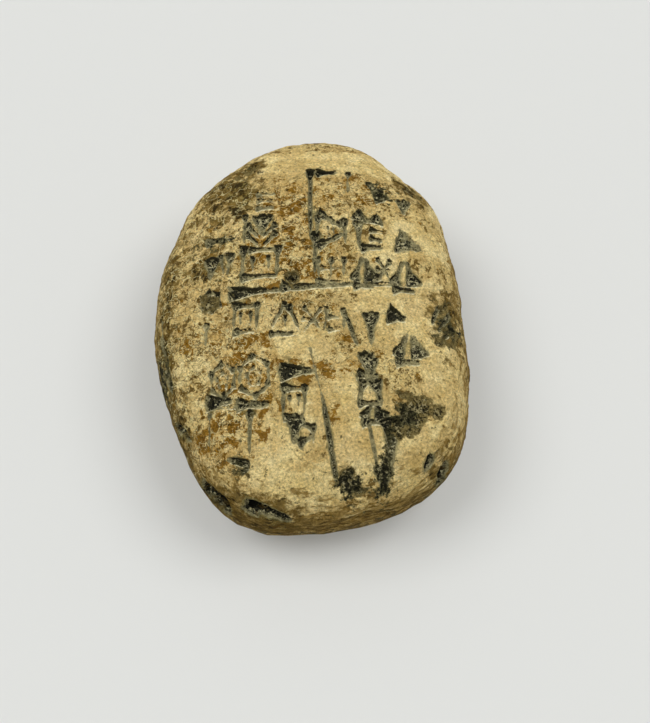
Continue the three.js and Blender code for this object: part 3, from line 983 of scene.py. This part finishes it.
    def bare_skin(self) -> Socket:
        """How far the thin pale crust is gone, which ochre and grime favour and clean patches don't."""
        noise = self.add_noise(self.sizes.crust_grain).outputs["Fac"]
        swing = self.combined(noise, self.sizes.crust_swing, "MULTIPLY")
        for name, weight in self.sizes.crust_likes:
            swing = self.combined(swing, self.combined(self.kept(name), weight, "MULTIPLY"), "ADD")
        whole, gone = self.sizes.crust_range
        return self.add("ShaderNodeMapRange", {"Value": swing, "From Min": whole, "From Max": gone},
                        interpolation_type="SMOOTHSTEP").outputs[0]

    def build(self) -> bpy.types.NodeTree:
        """Joins the steps: press, soften, raise the burrs, chip, pit and weather.

        Returns:
            The finished tree.
        """
        sizes = self.sizes
        tools = self.tools()
        chip = self.add("GeometryNodeMeshIcoSphere", {"Radius": 1.0, "Subdivisions": 4}).outputs["Mesh"]
        lump = self.keep(self.given["Lump"], "pressed", self.flat_depth(tools, 0.0))
        # Two bands read from the depth a little above and below each point, both fading towards the edge:
        # just below a stroke, a pale worn lip with a painted highlight, as if lit from beyond the top
        # edge; on a stroke's upper wall, painted shade
        for name, way in (("lip", 1), ("lee", -1)):
            beside = self.flat_depth(tools, way * sizes.wall)
            rise = self.combined(beside, self.kept("pressed"), "SUBTRACT", use_clamp=True)
            level = self.add("ShaderNodeMath", {0: self.kept("edge"), 1: -2.0, 2: 1.0},
                             operation="MULTIPLY_ADD", use_clamp=True)
            lump = self.keep(lump, name, self.combined(rise, level.outputs[0], "MULTIPLY"))
        torn = self.skin_depth(self.punches("Breaks", chip), self.wobble(*sizes.break_wobble))
        lump = self.keep(lump, "torn", torn)
        pitted = self.skin_depth(self.worn_pits(self.given["Lump"]), self.wobble(*sizes.pit_wobble))
        lump = self.keep(lump, "pitted", pitted)
        lump = self.keep(lump, "stroke", self.blurred("pressed", sizes.softening))
        lump = self.keep(lump, "hollow", self.blurred("torn", sizes.softening))
        wide = self.blurred("pressed", sizes.burr_spread)
        burr = self.combined(wide, self.kept("stroke"), "SUBTRACT", use_clamp=True)
        lump = self.keep(lump, "burr", burr)
        lump = self.keep(lump, "residue", self.blurred("pressed", sizes.residue_spread))
        lump = self.keep(lump, "bare", self.bare_skin())

        grain, rough = sizes.floor_roughness
        crumb = self.combined(self.add_noise(grain).outputs["Fac"], rough, "MULTIPLY")
        rough_floor = self.combined(crumb, 1 - rough / 2, "ADD")
        torn_rough = self.combined(self.kept("hollow"), rough_floor, "MULTIPLY")
        deeper = self.combined(self.kept("stroke"), torn_rough, "MAXIMUM")
        sunk = self.combined(deeper, self.kept("pitted"), "ADD")
        flaked = self.combined(self.kept("bare"), sizes.crust_height * MM, "MULTIPLY")
        sunk = self.combined(sunk, flaked, "ADD")
        raised = self.combined(self.kept("burr"), self.given["Burr Height"], "MULTIPLY")
        height = self.combined(self.combined(self.skin_waves(), raised, "ADD"), sunk, "SUBTRACT")
        shift = self.scaled(self.normal, height)
        moved = self.add("GeometryNodeSetPosition", {"Geometry": lump, "Offset": shift}).outputs[0]
        real = self.add("GeometryNodeRealizeInstances", {"Geometry": moved}).outputs[0]
        dressed = self.add("GeometryNodeSetMaterial", {"Geometry": real, "Material": self.given["Finish"]})
        self.add("NodeGroupOutput", {0: dressed.outputs[0]})
        return self.tree


# The finish


class Spread(Enum):
    """How a coat is spread over its place."""

    FLECKS = "flecks"
    STREAKS = "streaks that run level, parallel to the rim"
    VEINS = "thin winding lines"


@dataclass(frozen=True)
class Coat:
    """One thing that lies on the clay or in it.

    field is the attribute that says where. It starts to show at start and is full at full. Noise of
    the grain in millimetres breaks it up, and mixes its thin colour with its thick one.
    """

    field: str
    start: float
    full: float
    thin: str
    thick: str
    grain: float
    ragged: float
    strength: float = 1.0
    spread: Spread = Spread.FLECKS
    spared_by_clean: bool = False


@dataclass(frozen=True)
class OldClay:
    """Sun-dried river clay, patted by hand and long buried.

    The eye gets a dull buff skin with ochre and brown mottling, grey-green earth packed in the
    strokes, black earth and painted shade where strokes and breaks are deepest, pale worn lips
    with a painted highlight below the strokes, painted shade on their upper walls, and darker
    streaked clay towards the girth, less of it towards the far edge. Grains and heights are
    millimetres.
    """

    name: str = "sun-dried clay"
    pale: str = "#f6e4a9"
    mid: str = "#e6cf8a"
    warm: str = "#d8b86b"
    pale_grain: float = 4.0  # of the change from pale to mid
    warm_grain: float = 1.6
    warm_share: float = 0.5  # how much of the warm tint there is at most
    shade_grain: float = 0.32
    shade: tuple[float, float] = (0.62, 1.4)  # the darkest and lightest of the fine grain
    grit_grain: float = 0.4  # silt is finer, and is drawn this coarse so that it shows
    grit_height: float = 0.14
    streak_stretch: tuple[float, float, float] = (0.45, 0.45, 1.7)  # draws streaks out level
    roughness: float = 0.9
    specular: float = 0.05
    coats: tuple[Coat, ...] = (
        Coat("skin", 0.9, 1.2, "#d6b97a", "#bf9f5d", 6.0, 1.0, 0.55),
        Coat("skin", 1.0, 1.3, "#cfb06d", "#b5954f", 2.8, 1.0, 0.5, Spread.STREAKS),
        Coat("skin", 0.86, 0.98, "#a5884c", "#83662f", 1.3, 1.2, 0.5, Spread.VEINS),
        Coat("bare", 0.35, 0.6, "#cdb071", "#ae8f50", 2.4, 0.5, 0.62),
        Coat("bare", 0.84, 1.0, "#ecd695", "#d4b975", 2.2, 1.2, 0.8),
        Coat("bare", 1.06, 1.24, "#76581d", "#4c360d", 1.1, 1.2, 0.9),
        Coat("edge", 0.5, 0.85, "#a88a4b", "#6e531a", 1.2, 1.0, 0.88, Spread.STREAKS),
        Coat("edge", 0.98, 1.14, "#48370f", "#2a2008", 0.7, 1.0, 0.8, Spread.STREAKS),
        Coat("ochre", 0.4, 0.7, "#d8b974", "#bc944a", 2.4, 0.9, 0.55, spared_by_clean=True),
        Coat("ochre", 0.62, 0.86, "#9a7120", "#6c480a", 2.0, 2.0, 0.93, spared_by_clean=True),
        Coat("ochre", 1.1, 1.2, "#4b330a", "#2b1d05", 0.9, 1.7, 0.9, spared_by_clean=True),
        Coat("ochre", 1.02, 1.14, "#f0da9c", "#d6ba74", 1.1, 1.7, 0.92),
        Coat("ochre", 0.85, 0.97, "#5f430e", "#3c2a08", 1.5, 1.2, 0.7, Spread.VEINS, True),
        Coat("grime", 0.42, 0.84, "#826a33", "#5a4519", 1.6, 0.9, 0.9),
        Coat("grime", 0.88, 1.08, "#3a3014", "#1d190a", 0.8, 1.3, 0.9, Spread.STREAKS),
        Coat("grime", 1.12, 1.28, "#b3a05f", "#938246", 0.6, 1.2, 0.7),
        Coat("skin", 0.84, 0.94, "#5f4718", "#3a290a", 1.6, 1.3, 0.75, Spread.VEINS, True),
        Coat("skin", 0.86, 0.96, "#f8ebb0", "#e0d393", 1.9, 1.3, 0.6, Spread.VEINS, True),
        Coat("skin", 1.38, 1.46, "#59441a", "#38290c", 0.5, 1.0, 0.75, spared_by_clean=True),
        Coat("residue", 0.5, 0.8, "#938c5a", "#646140", 0.9, 0.9, 0.55),
        # pale clay just below each stroke: a worn lip with a painted highlight, as if lit from beyond the
        # top edge
        Coat("lip", 0.32, 0.5, "#f4ecc2", "#dace9e", 0.6, 0.6, 0.92),
        Coat("stroke", 0.14, 0.24, "#b3a97b", "#666247", 1.4, 0.3, 0.95),
        Coat("stroke", 0.48, 0.78, "#7b7654", "#424435", 1.0, 0.9, 0.85),
        Coat("stroke", 0.36, 0.48, "#20211a", "#0e0f0b", 0.8, 1.2, 0.92, Spread.VEINS),
        Coat("stroke", 0.54, 0.64, "#e0d7aa", "#bbb182", 0.7, 1.2, 0.85, Spread.VEINS),
        # black earth and painted shade where the strokes and cuts are deepest
        Coat("stroke", 1.04, 1.18, "#20211a", "#0e0f0a", 0.8, 1.4, 0.93),
        Coat("stroke", 1.5, 1.7, "#15150e", "#0a0a06", 0.5, 0.6, 0.92),
        # painted shade on the upper wall of each stroke, the side turned away from the light beyond the
        # top edge
        Coat("lee", 0.35, 0.7, "#26261a", "#10100a", 0.6, 0.9, 0.93),
        Coat("hollow", 0.15, 0.3, "#918150", "#554a28", 0.9, 0.5, 0.95),
        Coat("hollow", 0.26, 0.38, "#2a2a1b", "#13130b", 0.8, 1.2, 0.88, Spread.VEINS),
        Coat("hollow", 0.48, 0.6, "#cdbf8d", "#a09365", 0.7, 1.2, 0.78, Spread.VEINS),
        # black earth and painted shade where the breaks are deepest
        Coat("hollow", 1.15, 1.35, "#222217", "#0e0e08", 0.9, 1.1, 0.92),
        Coat("soot", 0.42, 0.56, "#6a6542", "#3d3c27", 0.8, 1.1, 0.9),
        Coat("soot", 0.5, 0.6, "#c8be93", "#a19870", 0.6, 1.2, 0.7, Spread.VEINS),
        Coat("soot", 0.64, 0.8, "#1f2016", "#0c0d07", 0.8, 1.1, 0.92),
        Coat("edge", 0.95, 1.15, "#66501e", "#3a2c0c", 0.9, 1.1, 0.55, Spread.STREAKS),
    )


class ClayShader:
    """Builds the clay's node material."""

    #: what most of Blender's noise lies between
    NOISE_RANGE = (0.345, 0.655)
    #: how much of each kept depth in metres counts as one
    FIELD_SCALES = {
        "stroke": 0.6 * MM, "lip": 0.4 * MM, "lee": 0.4 * MM, "hollow": 0.7 * MM, "residue": 0.25 * MM,
    }  # fmt: skip

    def __init__(self, look: OldClay) -> None:
        """Starts the material with its coordinates."""
        self.look = look
        self.material = bpy.data.materials.new(look.name)
        self.material.use_nodes = True
        self.tree = self.material.node_tree
        self.tree.nodes.clear()
        self.place = self.add("ShaderNodeTexCoord").outputs["Object"]
        drawn_out = {"Vector": self.place, "Scale": look.streak_stretch}
        self.level = self.add("ShaderNodeMapping", drawn_out).outputs[0]

    def add(self, kind: str, inputs: Inputs | None = None, **settings: object) -> bpy.types.Node:
        """Adds a node to this material."""
        return add_node(self.tree, kind, inputs, **settings)

    def noise(self, grain_mm: float, spread: Spread = Spread.FLECKS) -> Socket:
        """Noise that fills the range from 0 to 1.

        Args:
            grain_mm: its grain in millimetres.
            spread: whether it makes flecks, streaks or veins.

        Returns:
            The noise. Veins reach 1 along their middle.
        """
        veins = spread is Spread.VEINS
        noise = self.add("ShaderNodeTexNoise", {
            "Vector": self.level if spread is Spread.STREAKS else self.place,
            "Scale": 1 / (grain_mm * MM),
            "Detail": 2.5 if veins else 6.0,
            "Roughness": 0.6 if veins else 0.7,
        })
        low, high = self.NOISE_RANGE
        value = self.add("ShaderNodeMapRange", {
            "Value": noise.outputs["Fac"], "From Min": low, "From Max": high,
        }).outputs[0]
        if not veins:
            return value
        doubled = self.add("ShaderNodeMath", {0: value, 1: 2.0}, operation="MULTIPLY").outputs[0]
        return self.add("ShaderNodeMath", {0: doubled, 1: 1.0}, operation="PINGPONG").outputs[0]

    def field(self, name: str, clamped: bool = False) -> Socket:
        """The value that the mesh keeps under a name.

        Args:
            name: the attribute's name.
            clamped: whether the value stops at one.

        Returns:
            The value, with a kept depth brought to a share of its usual size.
        """
        value = self.add("ShaderNodeAttribute", attribute_type="GEOMETRY", attribute_name=name)
        share = {0: value.outputs["Fac"], 1: self.FIELD_SCALES.get(name, 1.0)}
        return self.add("ShaderNodeMath", share, operation="DIVIDE", use_clamp=clamped).outputs[0]

    def mix(self, share: object, first: object, second: object, blend: str = "MIX") -> Socket:
        """Mixes two colours.

        Args:
            share: how much of the second there is.
            first: a colour or a socket.
            second: a colour or a socket.
            blend: Blender's name for the way of mixing.

        Returns:
            The mixed colour.
        """
        values = {0: share, 6: first, 7: second}
        return self.add("ShaderNodeMix", values, data_type="RGBA", blend_type=blend).outputs[2]

    def lay(self, under: Socket, coat: Coat, spared: Socket) -> Socket:
        """Lays a coat over the colour so far.

        Args:
            under: the colour so far.
            coat: the coat.
            spared: how clean the clay is, from 0 to 1.

        Returns:
            The new colour.
        """
        veins = coat.spread is Spread.VEINS
        noise = self.noise(coat.grain, coat.spread)
        edge = self.add("ShaderNodeMath", {0: noise, 1: -1.0 if veins else -0.5}).outputs[0]
        values = {0: edge, 1: coat.ragged, 2: self.field(coat.field, veins)}
        swing = self.add("ShaderNodeMath", values, operation="MULTIPLY_ADD").outputs[0]
        if coat.spared_by_clean:
            swing = self.add("ShaderNodeMath", {0: swing, 1: spared}, operation="SUBTRACT").outputs[0]
        shown = self.add("ShaderNodeMapRange", {
            "Value": swing, "From Min": coat.start, "From Max": coat.full, "To Max": coat.strength,
        }, interpolation_type="SMOOTHSTEP").outputs[0]
        tone = self.mix(self.noise(coat.grain * 0.7), linear(coat.thin), linear(coat.thick))
        return self.mix(shown, under, tone)

    def build(self) -> bpy.types.Material:
        """Builds the material.

        Returns:
            The clay's material.
        """
        look = self.look
        colour = self.mix(self.noise(look.pale_grain), linear(look.pale), linear(look.mid))
        patchy = {0: self.noise(look.warm_grain), 1: look.warm_share}
        warmth = self.add("ShaderNodeMath", patchy, operation="MULTIPLY").outputs[0]
        colour = self.mix(warmth, colour, linear(look.warm))
        clean = self.field("clean")
        for coat in look.coats:
            colour = self.lay(colour, coat, clean)
        fine = self.add("ShaderNodeMapRange", {
            "Value": self.noise(look.shade_grain), "To Min": look.shade[0], "To Max": look.shade[1],
        }).outputs[0]
        grey = self.add("ShaderNodeCombineColor", {0: fine, 1: fine, 2: fine}).outputs[0]
        colour = self.mix(1.0, colour, grey, "MULTIPLY")
        rough = {"Distance": look.grit_height * MM, "Height": self.noise(look.grit_grain)}
        bump = self.add("ShaderNodeBump", rough).outputs[0]
        shader = self.add("ShaderNodeBsdfPrincipled", {
            "Base Color": colour,
            "Roughness": look.roughness,
            "Specular IOR Level": look.specular,
            "Normal": bump,
        })
        self.add("ShaderNodeOutputMaterial", {"Surface": shader.outputs[0]})
        return self.material


# The tablet


@dataclass
class Tablet:
    """The whole tablet: the lump, its relief, its stains and its finish. The back is the plainer side."""

    pillow: Pillow
    sizes: ReliefSizes = field(default_factory=ReliefSizes)
    look: OldClay = field(default_factory=OldClay)
    most_triangles: int = 196_000
    face_thinning: float = 0.9  # how readily the face is thinned, next to the plainer back
    chip_lift: float = 0.6  # how high over the skin a break's ball stands, as a share of its depth
    chip_spread: float = 1.25  # how much broader that makes the ball than the break
    patch_falloff: float = 0.7  # how fast a stain fades from its patch's middle
    back_stain: float = 0.3  # how much of each stain the back has
    edge_fade: tuple[float, float] = (1.15, 1.3)  # the edge's start, and its loss up to the face
    far_fade: tuple[float, float, float] = (2.0, 0.8, 0.5)  # slope, start and loss towards the far edge

    def place(self, points: np.ndarray, x: float, y: float) -> int:
        """Finds the point of the face nearest to a place in the plan.

        Args:
            points: the lump's points.
            x: share of the half width.
            y: share of the half length.

        Returns:
            The point's number.
        """
        target = np.array([x * self.pillow.width / 2, y * self.pillow.length / 2])
        gap = np.hypot(*(points[:, :2] - target).T)
        gap[points[:, 2] < self.pillow.girth] = np.inf
        return int(gap.argmin())

    def breaks(self, points: np.ndarray, normals: np.ndarray) -> Marks:
        """Sets the breaks on the skin, each leaning with it.

        Args:
            points: the lump's points.
            normals: the skin's normals at them.

        Returns:
            The breaks' middles, tilts and sizes.
        """
        marks = Marks()
        for torn in BREAKS:
            number = self.place(points, torn.x, torn.y)
            normal = Vector(normals[number])
            lean = Vector((0, 0, 1)).rotation_difference(normal)
            turn = lean @ Quaternion((0, 0, 1), math.radians(torn.turn))
            lift = self.chip_lift * torn.depth
            size = (torn.across * self.chip_spread, torn.along * self.chip_spread, torn.depth + lift)
            marks.add(Vector(points[number]) + normal * lift, turn.to_euler(), size)
        return marks

    def stain(self, mesh: bpy.types.Mesh, points: np.ndarray) -> None:
        """Keeps each stain's strength, and how near the edge it is, at each point of the lump.

        Args:
            mesh: the lump's mesh.
            points: its points in millimetres.
        """
        half = np.array([self.pillow.width, self.pillow.length]) / 2
        for stain in Stain:
            left = np.ones(len(points))
            for patch in PATCHES:
                if patch.stain is not stain:
                    continue
                offset = points[:, :2] - half * (patch.x, patch.y)
                c, s = math.cos(math.radians(patch.turn)), math.sin(math.radians(patch.turn))
                u = (offset[:, 0] * c + offset[:, 1] * s) / patch.across
                v = (offset[:, 1] * c - offset[:, 0] * s) / patch.along
                left *= 1 - patch.strength * np.exp(-self.patch_falloff * (u * u + v * v))
            shown = np.where(points[:, 2] > self.pillow.girth, 1 - left, self.back_stain)
            layer = mesh.attributes.new(stain.value, "FLOAT", "POINT")
            layer.data.foreach_set("value", shown.astype(np.float32))
        up = (points[:, 2] - self.pillow.girth) / (self.pillow.thickness - self.pillow.girth)
        start, loss = self.edge_fade
        slope, far_start, far_loss = self.far_fade
        far = np.clip(slope * (points[:, 1] / half[1]) - far_start, 0, 1)
        # darker towards the girth, and less so towards the far edge
        edge = np.clip(start - loss * up, 0, 1) * (1 - far_loss * far)
        for name, values in (("edge", edge), ("skin", np.ones(len(points)))):
            layer = mesh.attributes.new(name, "FLOAT", "POINT")
            layer.data.foreach_set("value", values.astype(np.float32))
        mesh.update()

    def lump(self) -> tuple[bpy.types.Object, np.ndarray]:
        """Builds the uncut lump.

        Returns:
            The object, with its stains, and its points in millimetres.
        """
        points, quads = self.pillow.mesh_points()
        thing = plain_mesh("tablet_clay", points * MM, quads)
        self.stain(thing.data, points)
        return thing, points

    def weather(
        self, lump: bpy.types.Object, points: np.ndarray, finish: bpy.types.Material
    ) -> None:
        """Presses, chips and weathers the lump with geometry nodes, and keeps the relief in its mesh.

        Args:
            lump: the uncut lump.
            points: its points in millimetres.
            finish: the clay's material.
        """
        normals = np.empty(len(points) * 3)
        lump.data.vertices.foreach_get("normal", normals)
        corner, edge = Writing(self.pillow.width / 2, self.pillow.length / 2).marks()
        helpers = {
            "Corner Marks": corner.to_object("corner_marks"),
            "Corner Punch": Punch.CORNER.to_object(),
            "Edge Marks": edge.to_object("edge_marks"),
            "Edge Punch": Punch.EDGE.to_object(),
            "Breaks": self.breaks(points, normals.reshape(-1, 3)).to_object("breaks"),
        }
        values = {
            **helpers,
            "Girth Height": self.pillow.girth * MM,
            "Reach": self.sizes.reach * MM,
            "Burr Height": self.sizes.burr_height / self.sizes.burr_overlap,
            "Pit Density": self.sizes.pit_density / MM**2,
            "Pit Size": self.sizes.pit_size * MM,
            "Seed": self.sizes.pit_seed,
            "Finish": finish,
        }
        modifier = lump.modifiers.new("relief", "NODES")
        modifier.node_group = ReliefTree(self.sizes).build()
        for socket in modifier.node_group.interface.items_tree:
            if socket.in_out == "INPUT" and socket.name in values:
                modifier[socket.identifier] = values[socket.name]
        flatten(lump)
        for helper in helpers.values():
            bpy.data.objects.remove(helper)

    def build(self) -> bpy.types.Object:
        """Builds the tablet.

        Returns:
            The finished piece, in place of the part's node.
        """
        lump, points = self.lump()
        LOG.info("lump: %d points", len(points))
        self.weather(lump, points, ClayShader(self.look).build())
        count = sum(len(p.vertices) - 2 for p in lump.data.polygons)
        back = lump.vertex_groups.new(name="back")
        under = points[:, 2] < self.pillow.girth
        back.add(np.flatnonzero(under).tolist(), 1.0, "REPLACE")
        back.add(np.flatnonzero(~under).tolist(), self.face_thinning, "REPLACE")
        thinner = lump.modifiers.new("thinner", "DECIMATE")
        thinner.vertex_group = back.name
        thinner.vertex_group_factor = 1.0
        thinner.ratio = self.most_triangles / count
        flatten(lump)
        lump.data.shade_smooth()
        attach(lump, BODY)
        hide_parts(NODE)
        LOG.info("tablet: %d triangles", len(lump.data.polygons))
        return lump


def flatten(thing: bpy.types.Object) -> None:
    """Turns an object and its modifiers into a plain mesh.

    Args:
        thing: the object, whose modifiers are removed.
    """
    graph = bpy.context.evaluated_depsgraph_get()
    old = thing.data
    mesh = bpy.data.meshes.new_from_object(
        thing.evaluated_get(graph), preserve_all_data_layers=True, depsgraph=graph
    )
    thing.modifiers.clear()
    thing.data = mesh
    mesh.name = thing.name
    bpy.data.meshes.remove(old)


# The studio


@dataclass(frozen=True)
class Studio:
    """A plain pale floor, soft light, and the camera that looks down on the tablet."""

    elevation: float = 63.0
    focal_px: float = 1187.0
    frame_px: tuple[int, int] = (650, 723)
    px_per_mm: float = 7.0  # on the floor, at the middle of the frame
    target: tuple[float, float] = (1.93, -0.04)  # where the middle of the frame meets the floor, in mm
    sensor: float = 36.0
    floor_colour: str = "#dddedb"
    floor_cap: float = 0.02  # metres of the radius of the floor's middle face
    floor_reach: float = 0.9  # metres from the middle to where the floor starts to rise
    sweep: float = 0.5  # metres of the rise's radius
    sweep_steps: int = 12
    sweep_turns: int = 96
    softbox_strength: float = 0.95
    softbox_spread: float = 36.0
    softboxes: tuple[tuple[float, float, float], ...] = ((-0.6, 0.08, 1.0), (0.6, 0.08, 1.0))
    skim_strength: float = 1.0  # a shadowless light from beyond the top edge, which shows the relief
    skim: tuple[float, float, float] = (-0.2, 1.0, 0.75)
    room_strength: float = 0.3

    def build_floor(self) -> None:
        """Lays the floor, which sweeps up to a low wall all round."""
        bend = [math.pi / 2 * i / self.sweep_steps for i in range(self.sweep_steps + 1)]
        profile = [(self.floor_cap, 0.0)]
        for a in bend:
            profile.append((self.floor_reach + self.sweep * math.sin(a), self.sweep * (1 - math.cos(a))))
        turns = [2 * math.pi * i / self.sweep_turns for i in range(self.sweep_turns)]
        points = [(r * math.cos(t), r * math.sin(t), z) for r, z in profile for t in turns]
        n = self.sweep_turns
        quads = [(k * n + i, k * n + (i + 1) % n, (k + 1) * n + (i + 1) % n, (k + 1) * n + i)
                 for k in range(len(profile) - 1) for i in range(n)]
        floor = plain_mesh("floor", points, [tuple(range(n)), *(quad[::-1] for quad in quads)])
        floor.data.shade_smooth()
        paint = bpy.data.materials.new("matt paint")
        paint.use_nodes = True
        shader = paint.node_tree.nodes["Principled BSDF"]
        shader.inputs["Base Color"].default_value = linear(self.floor_colour)
        shader.inputs["Roughness"].default_value = 0.9
        floor.data.materials.append(paint)

    def build_light(self) -> None:
        """Hangs a broad soft light high on each side and one beyond the top edge, in an even pale room."""
        lights = [(way, self.softbox_strength, True) for way in self.softboxes]
        for way, strength, shadow in (*lights, (self.skim, self.skim_strength, False)):
            lamp = bpy.data.lights.new("softbox", "SUN")
            lamp.energy = strength
            lamp.angle = math.radians(self.softbox_spread)
            lamp.use_shadow = shadow
            softbox = link(bpy.data.objects.new("softbox", lamp))
            softbox.rotation_euler = Vector(way).to_track_quat("Z", "Y").to_euler()
        world = bpy.data.worlds.new("room")
        world.use_nodes = True
        room = world.node_tree.nodes["Background"]
        room.inputs["Color"].default_value = (1.0, 1.0, 1.0, 1.0)
        room.inputs["Strength"].default_value = self.room_strength
        bpy.context.scene.world = world
        bpy.context.scene.view_settings.view_transform = "Standard"

    def build_camera(self) -> None:
        """Sets the camera."""
        tilt = math.radians(self.elevation)
        way = Vector((0, math.cos(tilt), -math.sin(tilt)))
        lens = bpy.data.cameras.new("camera")
        lens.sensor_width = self.sensor
        lens.lens = self.focal_px / max(self.frame_px) * self.sensor
        camera = link(bpy.data.objects.new("camera", lens))
        distance = self.focal_px / self.px_per_mm
        camera.location = (Vector((*self.target, 0)) - way * distance) * MM
        camera.rotation_euler = way.to_track_quat("-Z", "Y").to_euler()
        lens.clip_start = 10 * MM
        bpy.context.scene.camera = camera


def main() -> None:
    """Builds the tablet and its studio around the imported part."""
    logging.basicConfig(level=logging.INFO, format="%(name)s: %(message)s")
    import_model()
    low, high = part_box(NODE)
    size = [(b - a) / MM for a, b in zip(low, high)]
    studio = Studio()
    studio.build_camera()
    studio.build_floor()
    studio.build_light()
    Tablet(Pillow(*size)).build()


if __name__ == "__main__":
    main()
